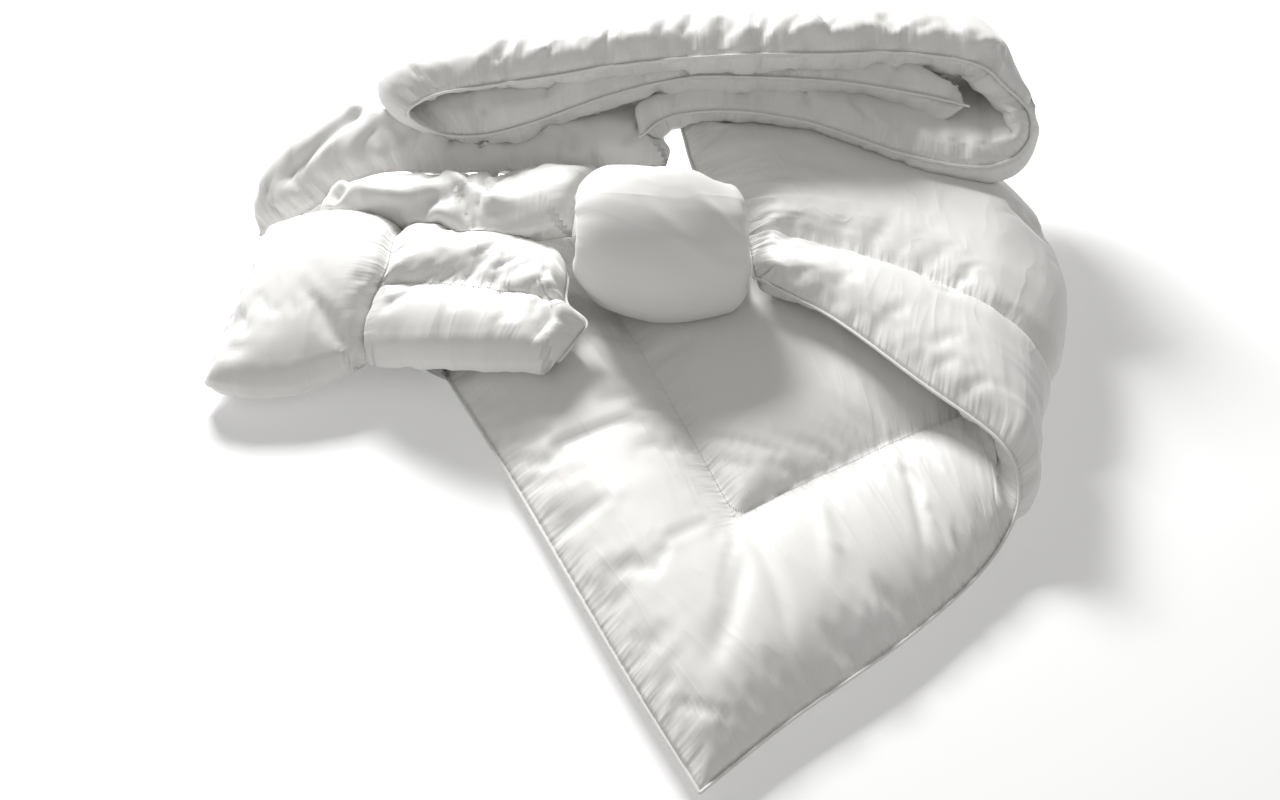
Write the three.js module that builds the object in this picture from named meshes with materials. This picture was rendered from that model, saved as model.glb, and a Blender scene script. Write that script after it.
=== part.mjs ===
// A folded duvet lying loosely on a surface: a white cotton cover quilted into a border and a centre
// field, filled with soft wadding and piped all round its edge.
// Millimetres, +Z up, the front corner points towards -Y. The underside rests on z = 0.
import * as THREE from "three";

// ---- driving dimensions -------------------------------------------------------------------------
const PILE_WIDTH = 1424;        // overall size of the folded pile, left to right
const PILE_DEPTH = 1457;        // overall size of the folded pile, front corner to back edge
const LOFT = 80;                // thickness of one filled layer
const CLOTH = 1.2;              // thickness of a cover panel
const PIPING_DIAMETER = 5;
const THREAD_DIAMETER = 1.6;    // quilting thread, as a proud row of stitches
const BORDER = 270;             // distance from the piped edge to the quilted frame line
const LEFT_FRONT_QUILT = 160;   // the same for the quilting line above the turned-under front of the left end
const EDGE_ROUND = 70;          // how far in from a seam the layer reaches its full loft
const QUILT_ROUND = 55;         // the same beside a quilting line
const SEAM_THICKNESS = 6;       // filling left at the piped edge
const QUILT_THICKNESS = 0.3;    // share of the loft left at a quilting line
const FIT_GAP = 0.3;            // clearance between pieces that touch
const PIPING_GAP = 0.7;         // clearance between the piping and the edge that it is sewn to
const LAY_GAP = 0.5;            // clearance between a fold and the fold that it lies on
const LABEL = { width: 45, drop: 30, thickness: 0.8, gap: 0.9, along: 0.42 };

// Guide points below are drawn for this size of pile; the pile's own size stretches them.
const DRAWN_WIDTH = 1424;
const DRAWN_DEPTH = 1457;
const NEAR_SEAM = 0.35;         // first line of facets beside a seam, as a share of the rounding
const PIPING_SIDES = 8;
const THREAD_SIDES = 6;
const TURN_STARTS = 0.42;       // shares of the front fold's width between which it turns over
const TURN_ENDS = 0.68;
const THREAD_LIFT = 1.09;       // thread height over the bottom of its groove, in thread diameters

// ---- guide nets ---------------------------------------------------------------------------------
// Each net is the middle surface of one fold. A row runs along the fold, the first row is its piped
// front edge and the last its far edge. A point is x, y in mm and its height in lofts.

// The large leaf that comes forward to the free corner, turns over at the right and comes back on top.
const FRONT_FOLD = [
  [[88, -722, 0.35], [211, -619, 0.4], [364, -505, 0.45], [480, -400, 0.45], [548, -318, 0.6], [572, -262, 1.05],
    [548, -205, 1.6], [442, -84, 1.75], [325, 64, 1.75], [205, 168, 1.75]],
  [[-15, -530, 0.4], [110, -430, 0.45], [280, -310, 0.45], [425, -215, 0.45], [560, -130, 0.6], [612, -95, 1.15],
    [568, -20, 1.75], [470, 90, 1.8], [340, 180, 1.8], [200, 250, 1.8]],
  [[-190, -180, 0.4], [-20, -110, 0.45], [180, -10, 0.45], [400, 90, 0.45], [635, 150, 0.5], [710, 180, 1.1],
    [630, 210, 1.75], [480, 250, 1.8], [330, 300, 1.8], [180, 335, 1.85]],
  [[-350, 120, 0.4], [-150, 190, 0.45], [80, 250, 0.45], [350, 320, 0.45], [610, 375, 0.5], [690, 385, 1.1],
    [615, 400, 1.75], [460, 420, 1.8], [300, 430, 1.8], [120, 440, 1.85]],
  [[-440, 330, 0.4], [-250, 390, 0.45], [20, 440, 0.45], [300, 500, 0.45], [520, 560, 0.5], [590, 580, 1.1],
    [520, 600, 1.85], [400, 615, 1.95], [260, 620, 1.95], [90, 615, 1.95]],
];

// The pillow-like left end, turned under along its front and piped at its right-hand corner.
const LEFT_FOLD = [
  [[-695, 25, 0.08], [-560, 25, 0.08], [-440, 78, 0.35], [-310, 48, 0.75], [-120, 15, 1.05]],
  [[-705, 18, 0.25], [-565, 8, 0.3], [-440, 58, 0.55], [-310, 22, 0.95], [-118, -12, 1.25]],
  [[-700, 60, 0.42], [-565, 48, 0.55], [-440, 85, 0.85], [-310, 55, 1.3], [-85, 25, 1.5]],
  [[-695, 120, 0.5], [-560, 110, 0.75], [-430, 120, 1.15], [-300, 95, 1.5], [-75, 48, 1.6]],
  [[-685, 230, 0.5], [-560, 220, 1], [-410, 190, 1.5], [-270, 160, 1.6], [-108, 95, 1.6]],
  [[-672, 330, 0.55], [-550, 315, 1.15], [-410, 270, 1.45], [-265, 220, 1.5], [-110, 165, 1.55]],
  [[-660, 400, 0.35], [-540, 370, 0.6], [-400, 330, 0.7], [-260, 290, 0.8], [-125, 235, 1.2]],
];

// The fat roll in the middle. A row runs round the roll, from its underside up the front and over the top.
const CENTRE_ROLL = [
  [[-72, 232, 2.32], [-72, 207, 2.34], [-72, 192, 2.55], [-72, 199, 2.79], [-72, 222, 2.9],
    [-72, 245, 2.79]],
  [[-35, 241, 1.7], [-35, 170, 1.76], [-35, 128, 2.35], [-35, 147, 3.05], [-35, 212, 3.35],
    [-35, 277, 3.05]],
  [[40, 244, 1.41], [40, 156, 1.48], [40, 105, 2.18], [40, 128, 2.99], [40, 208, 3.35], [40, 288, 2.99]],
  [[118, 244, 1.39], [118, 164, 1.45], [118, 118, 2.09], [118, 139, 2.84], [118, 212, 3.17],
    [118, 285, 2.84]],
  [[192, 246, 1.39], [192, 187, 1.44], [192, 153, 1.93], [192, 168, 2.5], [192, 222, 2.75],
    [192, 276, 2.5]],
];

// The smaller rumpled fold behind the left end, its front edge turned under.
const MIDDLE_FOLD = [
  [[-560, 365, 1], [-450, 335, 1.3], [-340, 290, 1.5], [-230, 250, 1.7], [-104, 250, 1.9]],
  [[-565, 380, 1.25], [-450, 340, 1.7], [-340, 298, 1.9], [-230, 260, 2], [-98, 262, 2.3]],
  [[-565, 405, 1.3], [-450, 372, 1.85], [-340, 335, 2.1], [-230, 305, 2.25], [-92, 312, 2.6]],
  [[-560, 425, 1.2], [-450, 405, 1.75], [-340, 385, 2], [-230, 365, 2.15], [-60, 372, 2.45]],
  [[-550, 450, 1], [-450, 432, 1.45], [-340, 428, 1.7], [-230, 425, 1.85], [-50, 428, 2]],
];

// The mound of cloth behind the left end, which comes down to the ground at its left.
const SIDE_FOLD = [
  [[-700, 430, 0.3], [-610, 428, 1], [-470, 440, 1.95], [-310, 435, 2.05], [-150, 440, 2.1],
    [-20, 432, 2.2], [60, 450, 2.1]],
  [[-705, 470, 0.35], [-630, 475, 1.1], [-480, 475, 2.1], [-320, 460, 2.2], [-150, 465, 2.25],
    [-20, 460, 2.3], [68, 490, 2.2]],
  [[-690, 530, 0.4], [-600, 530, 1.6], [-470, 530, 2.3], [-320, 515, 2.1], [-150, 520, 2.15],
    [-20, 520, 2.15], [58, 550, 2.1]],
  [[-650, 600, 0.4], [-560, 600, 1.6], [-450, 600, 2.3], [-320, 600, 2], [-150, 600, 2], [-20, 605, 2],
    [90, 662, 1.85]],
  [[-600, 670, 0.3], [-520, 670, 0.9], [-430, 670, 1.5], [-320, 670, 1.5], [-150, 670, 1.5],
    [-20, 675, 1.5], [150, 712, 1.3]],
];

// The stack at the back: a bottom leaf, a turn at the right, the top leaf, a wide turn at the left, and
// the tongue that comes back between the two leaves.
const BACK_EDGE = [
  [10, 472, 2.7], [70, 522, 2.85], [180, 533, 2.9], [320, 500, 2.85], [470, 405, 2.85], [585, 362, 2.85],
  [655, 372, 2.95, 0.8], [690, 405, 3.25, 0.7], [685, 437, 3.7, 0.7], [642, 466, 4.1, 0.8],
  [597, 500, 4.35], [478, 530, 4.4], [322, 520, 4.45], [218, 518, 4.45], [90, 512, 4.4], [-37, 506, 4.25],
  [-150, 490, 4.1], [-260, 480, 3.95, 0.9], [-345, 472, 3.8, 0.5], [-398, 464, 3.4, 0.36],
  [-350, 458, 2.95, 0.4], [-275, 447, 2.95, 0.9], [-190, 450, 3.2], [-40, 508, 3.5], [67, 545, 3.6],
  [150, 560, 3.6], [360, 543, 3.6], [515, 495, 3.6], [590, 465, 3.55, 0.8],
];
const BACK_BULGE = [
  [10, 540, 2.55], [65, 592, 2.6], [180, 608, 2.6], [320, 565, 2.6], [470, 470, 2.6], [580, 427, 2.6],
  [640, 430, 2.65, 0.8], [674, 455, 3.05, 0.7], [670, 485, 3.65, 0.7], [632, 520, 4.1, 0.8],
  [590, 550, 4.3], [472, 585, 4.35], [322, 582, 4.4], [218, 580, 4.4], [90, 575, 4.35], [-37, 570, 4.25],
  [-150, 560, 4.15], [-265, 552, 4.05, 0.9], [-390, 550, 3.85, 0.6], [-440, 542, 3.45, 0.5],
  [-400, 532, 3, 0.6], [-300, 515, 2.95, 0.9], [-190, 512, 3.12], [-40, 562, 3.35, 0.95],
  [67, 590, 3.43, 0.9], [150, 595, 3.43, 0.9], [360, 582, 3.45], [505, 540, 3.45], [575, 500, 3.35, 0.8],
];

// Further back the stack's leaves lie lower, over the folds that it rests on, and thinner.
const STACK_BASE = 2.2;
const pressed = (row, squeeze, thin, y) => row.map(([x, own, lofts, fat = 1]) => [x, y ?? own,
  STACK_BASE + (lofts - STACK_BASE) * squeeze, fat * thin]);
const BACK_STACK = [
  pressed(BACK_EDGE, 1, 0.85),
  pressed(BACK_BULGE, 1, 0.8),
  pressed(BACK_BULGE, 0.85, 0.65, 650),
  pressed(BACK_BULGE, 0.55, 0.4, 705),
];

// ---- colours ------------------------------------------------------------------------------------
const COVER_WHITE = new THREE.MeshStandardMaterial({ color: 0xf1efeb, roughness: 0.62, metalness: 0 });
const FILL_WHITE = new THREE.MeshStandardMaterial({ color: 0xf7f6f3, roughness: 0.95, metalness: 0 });
const PIPING_WHITE = new THREE.MeshStandardMaterial({ color: 0xf4f2ee, roughness: 0.55, metalness: 0 });
const THREAD_WHITE = new THREE.MeshStandardMaterial({ color: 0xe9e6e0, roughness: 0.5, metalness: 0 });
const LABEL_WHITE = new THREE.MeshStandardMaterial({ color: 0xfafafa, roughness: 0.4, metalness: 0 });

// ---- surfaces -----------------------------------------------------------------------------------
// A smooth curve through four neighbouring values (Catmull-Rom), t from the second to the third.
function through(a, b, c, d, t) {
  return 0.5 * (2 * b + (c - a) * t + (2 * a - 5 * b + 4 * c - d) * t * t + (3 * b - a - 3 * c + d) * t * t * t);
}

// The value of a smooth curve through a list of points, at a share of its count; the ends run straight on.
function curveAt(points, share) {
  const last = points.length - 1;
  const first = Math.min(Math.floor(share * last), last - 1);
  const b = points[first];
  const c = points[first + 1];
  const a = points[first - 1] ?? b.map((value, k) => 2 * value - c[k]);
  const d = points[first + 2] ?? c.map((value, k) => 2 * value - b[k]);
  return b.map((value, k) => through(a[k], value, c[k], d[k], share * last - first));
}

// A net's point in mm at the shares u along its rows and v from the front row to the far row.
// The last number of a point is how fat the layer is there.
function netPoint(net, u, v) {
  const [x, y, lofts, fat] = curveAt(net.map((row) => curveAt(row, u)), v);
  const place = new THREE.Vector3(x * PILE_WIDTH / DRAWN_WIDTH, y * PILE_DEPTH / DRAWN_DEPTH, lofts * LOFT);
  return { place, fat };
}

// Shares at which a net line has run the wanted lengths; at(share) gives its points.
function sharesAt(at, wanted) {
  const steps = 200;
  const lengths = [0];
  for (let k = 1; k <= steps; k++) lengths.push(lengths[k - 1] + at(k / steps).distanceTo(at((k - 1) / steps)));
  return {
    total: lengths[steps],
    shares: wanted(lengths[steps]).map((length) => {
      const k = Math.min(Math.max(lengths.findIndex((value) => value >= length - 1e-6), 1), steps);
      return (k - (lengths[k] - length) / (lengths[k] - lengths[k - 1])) / steps;
    }),
  };
}

// Lengths that split each stretch between two seams into cells, with two close to each seam.
function stations(seams, cell) {
  const result = [seams[0]];
  for (let s = 1; s < seams.length; s++) {
    const [start, end] = [seams[s - 1], seams[s]];
    const near = Math.min(EDGE_ROUND, (end - start) / 3);
    const count = Math.max(1, Math.round((end - start - 2 * near) / cell));
    result.push(start + near * NEAR_SEAM);
    for (let k = 0; k <= count; k++) result.push(start + near + (end - start - 2 * near) * k / count);
    result.push(end - near * NEAR_SEAM, end);
  }
  return result;
}

// How much of its full loft a layer has at a distance from a seam: a quarter of a sine wave.
function rise(distance, round) {
  return Math.sin(Math.PI / 2 * Math.min(distance / round, 1));
}

// One fold laid out on a grid: middle points, the directions along both sides, normals and half loft.
function layOut(fold) {
  const net = fold.net.map((row) => row.map((point) => [...point, point[3] ?? 1].slice(0, 4)));
  const linesAcross = (way) => fold.quilts.filter(({ across }) => across === way).map(({ at }) => at);
  const rowLine = (share) => netPoint(net, share, 0.4).place;
  const columnLine = (share) => netPoint(net, 0.4, share).place;
  const lengthU = sharesAt(rowLine, () => []).total;
  const lengthV = sharesAt(columnLine, () => []).total;
  const seamU = [0, ...linesAcross("u"), lengthU];
  const seamV = [0, ...linesAcross("v"), lengthV];
  const atU = stations(seamU, fold.cell);
  const atV = stations(seamV, fold.cell);
  const shareU = sharesAt(rowLine, () => atU).shares;
  const shareV = sharesAt(columnLine, () => atV).shares;
  const rows = shareV.map((v) => shareU.map((u) => netPoint(net, u, v)));
  const point = (i, j) => rows[j][i].place;
  const way = (a, b) => new THREE.Vector3().subVectors(b, a).normalize();
  const cells = { u: atU.length - 1, v: atV.length - 1 };
  const grid = rows.map((row, j) => row.map(({ place, fat }, i) => {
    const along = way(point(Math.max(i - 1, 0), j), point(Math.min(i + 1, cells.u), j));
    const back = way(point(i, Math.max(j - 1, 0)), point(i, Math.min(j + 1, cells.v)));
    const normal = new THREE.Vector3().crossVectors(along, back).normalize();
    const edgeU = Math.min(atU[i], lengthU - atU[i]);
    const edgeV = Math.min(atV[j], lengthV - atV[j]);
    const quilt = Math.min(QUILT_ROUND, ...fold.quilts.map(({ across, at, from }) => (across === "u"
      ? Math.hypot(atU[i] - at, Math.max(from - atV[j], 0))
      : Math.hypot(atV[j] - at, Math.max(from - atU[i], 0)))));
    const edged = rise(edgeU, EDGE_ROUND) * rise(edgeV, EDGE_ROUND);
    const quilted = QUILT_THICKNESS + (1 - QUILT_THICKNESS) * rise(quilt, QUILT_ROUND);
    const half = SEAM_THICKNESS / 2 + (LOFT * fold.fullness * fat - SEAM_THICKNESS) / 2 * edged * quilted;
    return { place, along, back, normal, half };
  }));
  const column = (marks, stops) => marks.map((mark) => stops.indexOf(mark));
  return { grid, cells, seamI: column(seamU, atU), seamJ: column(seamV, atV), name: fold.name };
}

// The place over a grid point at a height above the middle surface, never below the surface that the
// duvet rests on by less than its own depth in the layer.
function over(cell, height, depth) {
  const place = cell.place.clone().addScaledVector(cell.normal, height);
  place.z = Math.max(place.z, depth);
  return place;
}

// ---- solids -------------------------------------------------------------------------------------
// A closed solid between two grids of points of the same size, top facing the grid's normals.
function slab(top, bottom) {
  const rows = top.length;
  const columns = top[0].length;
  const index = (i, j, under) => (j * columns + i) * 2 + (under ? 1 : 0);
  const positions = [];
  for (let j = 0; j < rows; j++) {
    for (let i = 0; i < columns; i++) positions.push(...top[j][i].toArray(), ...bottom[j][i].toArray());
  }
  const faces = [];
  const quad = (a, b, c, d) => faces.push(a, b, c, a, c, d);
  for (let j = 0; j < rows - 1; j++) {
    for (let i = 0; i < columns - 1; i++) {
      quad(index(i, j), index(i + 1, j), index(i + 1, j + 1), index(i, j + 1));
      faces.push(index(i, j, true), index(i + 1, j + 1, true), index(i + 1, j, true));
      faces.push(index(i, j, true), index(i, j + 1, true), index(i + 1, j + 1, true));
    }
  }
  for (let i = 0; i < columns - 1; i++) {
    quad(index(i, 0, true), index(i + 1, 0, true), index(i + 1, 0), index(i, 0));
    quad(index(i, rows - 1, true), index(i, rows - 1), index(i + 1, rows - 1), index(i + 1, rows - 1, true));
  }
  for (let j = 0; j < rows - 1; j++) {
    quad(index(0, j + 1, true), index(0, j, true), index(0, j), index(0, j + 1));
    quad(index(columns - 1, j + 1, true), index(columns - 1, j + 1), index(columns - 1, j),
      index(columns - 1, j, true));
  }
  const geometry = new THREE.BufferGeometry();
  geometry.setAttribute("position", new THREE.Float32BufferAttribute(positions, 3));
  geometry.setIndex(faces);
  return geometry;
}

// One cover panel: the cloth on one side of the filling (side +1 along the normals, -1 against them).
function coverPanel(sheet, side) {
  const outside = sheet.grid.map((row) => row.map((cell) => over(cell, side * cell.half, 0)));
  const inside = sheet.grid.map((row) => row.map((cell) => over(cell, side * (cell.half - CLOTH), CLOTH)));
  return side > 0 ? slab(outside, inside) : slab(inside, outside);
}

// The wadding of the chamber between two grid columns and two grid rows.
function fillPad(sheet, [i0, i1], [j0, j1]) {
  const inset = CLOTH + FIT_GAP;
  const picked = sheet.grid.slice(j0, j1 + 1).map((row) => row.slice(i0, i1 + 1));
  const level = (side) => picked.map((row) => row.map((cell) => over(cell, side * (cell.half - inset), inset)));
  const faces = [level(1), level(-1)];
  for (const points of faces) {
    const rim = points.length - 1;
    const end = points[0].length - 1;
    const pull = (point, towards) => point.lerp(towards, FIT_GAP / point.distanceTo(towards));
    points.forEach((row) => {
      pull(row[0], row[1]);
      pull(row[end], row[end - 1]);
    });
    points[0].forEach((point, i) => pull(point, points[1][i]));
    points[rim].forEach((point, i) => pull(point, points[rim - 1][i]));
  }
  return slab(...faces);
}

// A line of cord from grid point to grid point; its rings stand exactly on the points.
class StitchLine extends THREE.Curve {
  constructor(points) {
    super();
    this.points = points;
  }

  getPoint(share, target = new THREE.Vector3()) {
    const last = this.points.length - 1;
    const first = Math.min(Math.floor(share * last + 1e-9), last - 1);
    return target.lerpVectors(this.points[first], this.points[first + 1], share * last - first);
  }

  getUtoTmapping(share) {
    return share;
  }
}

function cordAlong(points, diameter, sides) {
  const section = new THREE.Shape(Array.from({ length: sides }, (_, k) => new THREE.Vector2(
    Math.cos(2 * Math.PI * k / sides) * diameter / 2, Math.sin(2 * Math.PI * k / sides) * diameter / 2)));
  return new THREE.ExtrudeGeometry(section,
    { steps: points.length - 1, bevelEnabled: false, extrudePath: new StitchLine(points) });
}

// Piping along one edge of a fold: its cord lies against the closed edge, a clearance away.
function pipingAlong(sheet, edge) {
  const { u, v } = sheet.cells;
  const reach = PIPING_DIAMETER / 2 + PIPING_GAP;
  const outward = (a, b) => new THREE.Vector3().crossVectors(a, b).normalize();
  const edges = {
    front: () => sheet.grid[0].map((cell) => [cell, outward(cell.along, cell.normal)]),
    rear: () => sheet.grid[v].map((cell) => [cell, outward(cell.normal, cell.along)]),
    left: () => sheet.grid.map((row) => [row[0], outward(row[0].normal, row[0].back)]),
    right: () => sheet.grid.map((row) => [row[u], outward(row[u].back, row[u].normal)]),
  };
  return cordAlong(edges[edge]().map(([cell, way]) => cell.place.clone().addScaledVector(way, reach)),
    PIPING_DIAMETER, PIPING_SIDES);
}

// A row of quilting stitches over grid points, proud of the cover on one side.
function threadOver(sheet, stops, side) {
  const lift = FIT_GAP + THREAD_LIFT * THREAD_DIAMETER;
  return cordAlong(stops.map(([i, j]) => over(sheet.grid[j][i], side * (sheet.grid[j][i].half + lift), lift)),
    THREAD_DIAMETER, THREAD_SIDES);
}

// ---- laying one fold on the others ---------------------------------------------------------------
// Triangle corners of some meshes, and each triangle's box in plan.
function trianglesOf(meshes) {
  const triangles = [];
  for (const mesh of meshes) {
    const flat = mesh.geometry.index ? mesh.geometry.toNonIndexed() : mesh.geometry;
    const at = flat.getAttribute("position").array;
    for (let k = 0; k < at.length; k += 9) {
      const xs = [at[k], at[k + 3], at[k + 6]];
      const ys = [at[k + 1], at[k + 4], at[k + 7]];
      triangles.push({ at: at.slice(k, k + 9), x0: Math.min(...xs), x1: Math.max(...xs), y0: Math.min(...ys),
        y1: Math.max(...ys) });
    }
  }
  return triangles;
}

// Height of a triangle's plane over a point in plan, or null outside it.
function heightIn({ at }, x, y) {
  const [ax, ay, az, bx, by, bz, cx, cy, cz] = at;
  const area = (bx - ax) * (cy - ay) - (cx - ax) * (by - ay);
  if (Math.abs(area) < 1e-9) return null;
  const b = ((x - ax) * (cy - ay) - (cx - ax) * (y - ay)) / area;
  const c = ((bx - ax) * (y - ay) - (x - ax) * (by - ay)) / area;
  return b < 0 || c < 0 || b + c > 1 ? null : az + b * (bz - az) + c * (cz - az);
}

// How far one triangle can come down before it meets another below it: at a corner of either, or where
// their sides cross in plan.
function roomBetween(upper, lower) {
  let room = Infinity;
  for (let k = 0; k < 9; k += 3) {
    const under = heightIn(lower, upper.at[k], upper.at[k + 1]);
    if (under !== null) room = Math.min(room, upper.at[k + 2] - under);
    const above = heightIn(upper, lower.at[k], lower.at[k + 1]);
    if (above !== null) room = Math.min(room, above - lower.at[k + 2]);
  }
  for (let k = 0; k < 9; k += 3) {
    const [px, py, pz] = upper.at.slice(k, k + 3);
    const [qx, qy, qz] = [0, 1, 2].map((m) => upper.at[(k + 3 + m) % 9]);
    for (let n = 0; n < 9; n += 3) {
      const [rx, ry, rz] = lower.at.slice(n, n + 3);
      const [sx, sy, sz] = [0, 1, 2].map((m) => lower.at[(n + 3 + m) % 9]);
      const cross = (qx - px) * (sy - ry) - (qy - py) * (sx - rx);
      if (Math.abs(cross) < 1e-9) continue;
      const s = ((rx - px) * (sy - ry) - (ry - py) * (sx - rx)) / cross;
      const t = ((rx - px) * (qy - py) - (ry - py) * (qx - px)) / cross;
      if (s < 0 || s > 1 || t < 0 || t > 1) continue;
      room = Math.min(room, pz + s * (qz - pz) - rz - t * (sz - rz));
    }
  }
  return room;
}

// Lets a fold down from above until it lies a clearance over the folds below it, or on the ground.
function layDown(meshes, below) {
  const upper = trianglesOf(meshes);
  const lower = trianglesOf(below);
  let room = Math.min(...upper.map(({ at }) => Math.min(at[2], at[5], at[8])));
  for (const a of upper) {
    for (const b of lower) {
      if (a.x0 > b.x1 || b.x0 > a.x1 || a.y0 > b.y1 || b.y0 > a.y1) continue;
      room = Math.min(room, roomBetween(a, b) - LAY_GAP);
    }
  }
  for (const mesh of meshes) mesh.geometry.translate(0, 0, -room);
}

// ---- the duvet ----------------------------------------------------------------------------------
function piece(name, geometry, material) {
  const mesh = new THREE.Mesh(geometry, material.clone());
  mesh.name = name;
  return mesh;
}

// A strip of plain label hanging out of a fold's far seam, beyond its piping.
function blankLabel(sheet) {
  const row = sheet.grid[sheet.cells.v];
  const cell = row[Math.round(sheet.cells.u * LABEL.along)];
  const geometry = new THREE.BoxGeometry(LABEL.width, LABEL.drop, LABEL.thickness);
  const away = PIPING_GAP + PIPING_DIAMETER + LABEL.gap + LABEL.drop / 2;
  const up = new THREE.Vector3().crossVectors(cell.along, cell.back).normalize();
  const back = new THREE.Vector3().crossVectors(up, cell.along);
  geometry.applyMatrix4(new THREE.Matrix4().makeBasis(cell.along, back, up));
  geometry.translate(...cell.place.clone().addScaledVector(back, away).toArray());
  return geometry;
}

// All pieces of one fold: two cover panels, the wadding of each chamber, quilting threads and piping.
function makeFold(fold) {
  const sheet = layOut(fold);
  const pieces = [
    piece(`${fold.name}_upper_cover`, coverPanel(sheet, 1), COVER_WHITE),
    piece(`${fold.name}_lower_cover`, coverPanel(sheet, -1), COVER_WHITE),
  ];
  for (const chamber of fold.chambers) {
    const columns = chamber.u.map((k) => sheet.seamI.at(k));
    const rows = chamber.v.map((k) => sheet.seamJ.at(k));
    pieces.push(piece(`${fold.name}_${chamber.name}`, fillPad(sheet, columns, rows), FILL_WHITE));
  }
  for (const thread of fold.threads) {
    const stops = thread.path(sheet);
    pieces.push(piece(`${fold.name}_${thread.name}`, threadOver(sheet, stops, thread.side), THREAD_WHITE));
  }
  for (const edge of fold.piping) {
    pieces.push(piece(`${fold.name}_${edge}_piping`, pipingAlong(sheet, edge), PIPING_WHITE));
  }
  if (fold.label) pieces.push(piece("care_label", blankLabel(sheet), LABEL_WHITE));
  return pieces;
}

// Grid points from one column or row to another.
const downTo = (from, to) => Array.from({ length: Math.abs(to - from) + 1 },
  (_, k) => from + Math.sign(to - from) * k);

// The frame line of the front fold: in along the left border, round the corner and on along the front border.
function frameLine({ cells, seamI, seamJ }) {
  return [
    ...downTo(cells.v - 1, seamJ[1]).map((j) => [seamI[1], j]),
    ...downTo(seamI[1] + 1, Math.round(cells.u * TURN_STARTS)).map((i) => [i, seamJ[1]]),
  ];
}

const WHOLE = [0, -1];
const FOLDS = [
  {
    name: "front_fold", net: FRONT_FOLD, cell: 125, fullness: 0.95,
    quilts: [{ across: "u", at: BORDER, from: BORDER }, { across: "v", at: BORDER, from: BORDER }],
    chambers: [
      { name: "front_border_fill", u: WHOLE, v: [0, 1] },
      { name: "side_border_fill", u: [0, 1], v: [1, -1] },
      { name: "centre_fill", u: [1, -1], v: [1, -1] },
    ],
    threads: [
      { name: "inner_frame_thread", side: 1, path: frameLine },
      { name: "outer_frame_thread", side: -1, path: ({ cells, seamJ }) => downTo(Math.round(cells.u * TURN_ENDS),
        cells.u - 1).map((i) => [i, seamJ[1]]) },
    ],
    piping: ["front", "left", "right"],
  },
  {
    name: "left_fold", net: LEFT_FOLD, cell: 110, fullness: 0.95,
    quilts: [{ across: "u", at: BORDER, from: 0 }, { across: "v", at: LEFT_FRONT_QUILT, from: BORDER }],
    chambers: [
      { name: "end_fill", u: [0, 1], v: WHOLE },
      { name: "front_fill", u: [1, -1], v: [0, 1] },
      { name: "top_fill", u: [1, -1], v: [1, -1] },
    ],
    threads: [
      { name: "cross_thread", side: 1, path: ({ cells, seamI }) => downTo(1, cells.v - 1).map((j) => [seamI[1], j]) },
      { name: "long_thread", side: 1, path: ({ cells, seamI, seamJ }) => downTo(seamI[1] + 1, cells.u - 1).map((i) =>
        [i, seamJ[1]]) },
    ],
    piping: ["right"],
  },
  {
    name: "centre_roll", net: CENTRE_ROLL, cell: 70, fullness: 0.9, quilts: [],
    chambers: [{ name: "fill", u: WHOLE, v: WHOLE }], threads: [], piping: [],
  },
  {
    name: "middle_fold", net: MIDDLE_FOLD, cell: 90, fullness: 0.6, quilts: [],
    chambers: [{ name: "fill", u: WHOLE, v: WHOLE }], threads: [], piping: [],
  },
  {
    name: "side_fold", net: SIDE_FOLD, cell: 90, fullness: 0.9, quilts: [],
    chambers: [{ name: "fill", u: WHOLE, v: WHOLE }], threads: [], piping: [],
  },
  {
    name: "back_stack", net: BACK_STACK, cell: 90, fullness: 0.95, quilts: [],
    chambers: [{ name: "fill", u: WHOLE, v: WHOLE }], threads: [], piping: ["front", "rear"], label: true,
  },
];

const laid = [];
for (const fold of FOLDS) {
  const pieces = makeFold(fold);
  layDown(pieces, laid);
  laid.push(...pieces);
}

// The origin is the middle of the footprint, on the surface that the duvet rests on.
const group = new THREE.Group();
group.name = "duvet";
group.add(...laid);
const box = new THREE.Box3().setFromObject(group);
const middle = box.getCenter(new THREE.Vector3());
for (const mesh of laid) mesh.geometry.translate(-middle.x, -middle.y, 0);

export default group;
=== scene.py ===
"""A white quilted duvet lying loosely folded, with piped edges, seen from above its free front corner.

Every fold of the duvet is a bag of thin cotton round soft wadding. Its middle surface runs through a net of
guide points, the cloth on both sides bulges away from it between the seams, and a short cloth simulation
lets it pucker. Lengths are in metres.
"""
import math

import bpy
import numpy as np
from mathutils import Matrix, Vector
from mathutils.bvhtree import BVHTree


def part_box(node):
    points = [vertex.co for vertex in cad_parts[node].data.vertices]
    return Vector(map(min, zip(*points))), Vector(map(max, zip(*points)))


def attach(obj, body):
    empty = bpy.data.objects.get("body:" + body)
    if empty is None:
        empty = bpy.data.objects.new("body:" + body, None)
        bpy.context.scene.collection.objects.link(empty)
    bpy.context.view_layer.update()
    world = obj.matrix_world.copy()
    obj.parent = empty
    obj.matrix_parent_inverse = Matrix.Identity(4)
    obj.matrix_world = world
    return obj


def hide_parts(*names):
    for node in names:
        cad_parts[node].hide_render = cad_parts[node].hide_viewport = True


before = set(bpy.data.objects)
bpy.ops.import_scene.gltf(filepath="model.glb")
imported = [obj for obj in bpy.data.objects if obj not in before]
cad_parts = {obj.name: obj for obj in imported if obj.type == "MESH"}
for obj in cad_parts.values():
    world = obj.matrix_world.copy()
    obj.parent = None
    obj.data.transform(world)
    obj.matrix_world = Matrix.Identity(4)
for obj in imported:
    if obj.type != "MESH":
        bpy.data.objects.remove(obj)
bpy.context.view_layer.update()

# ---- sizes ---------------------------------------------------------------------------------------
MM = 0.001
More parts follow.
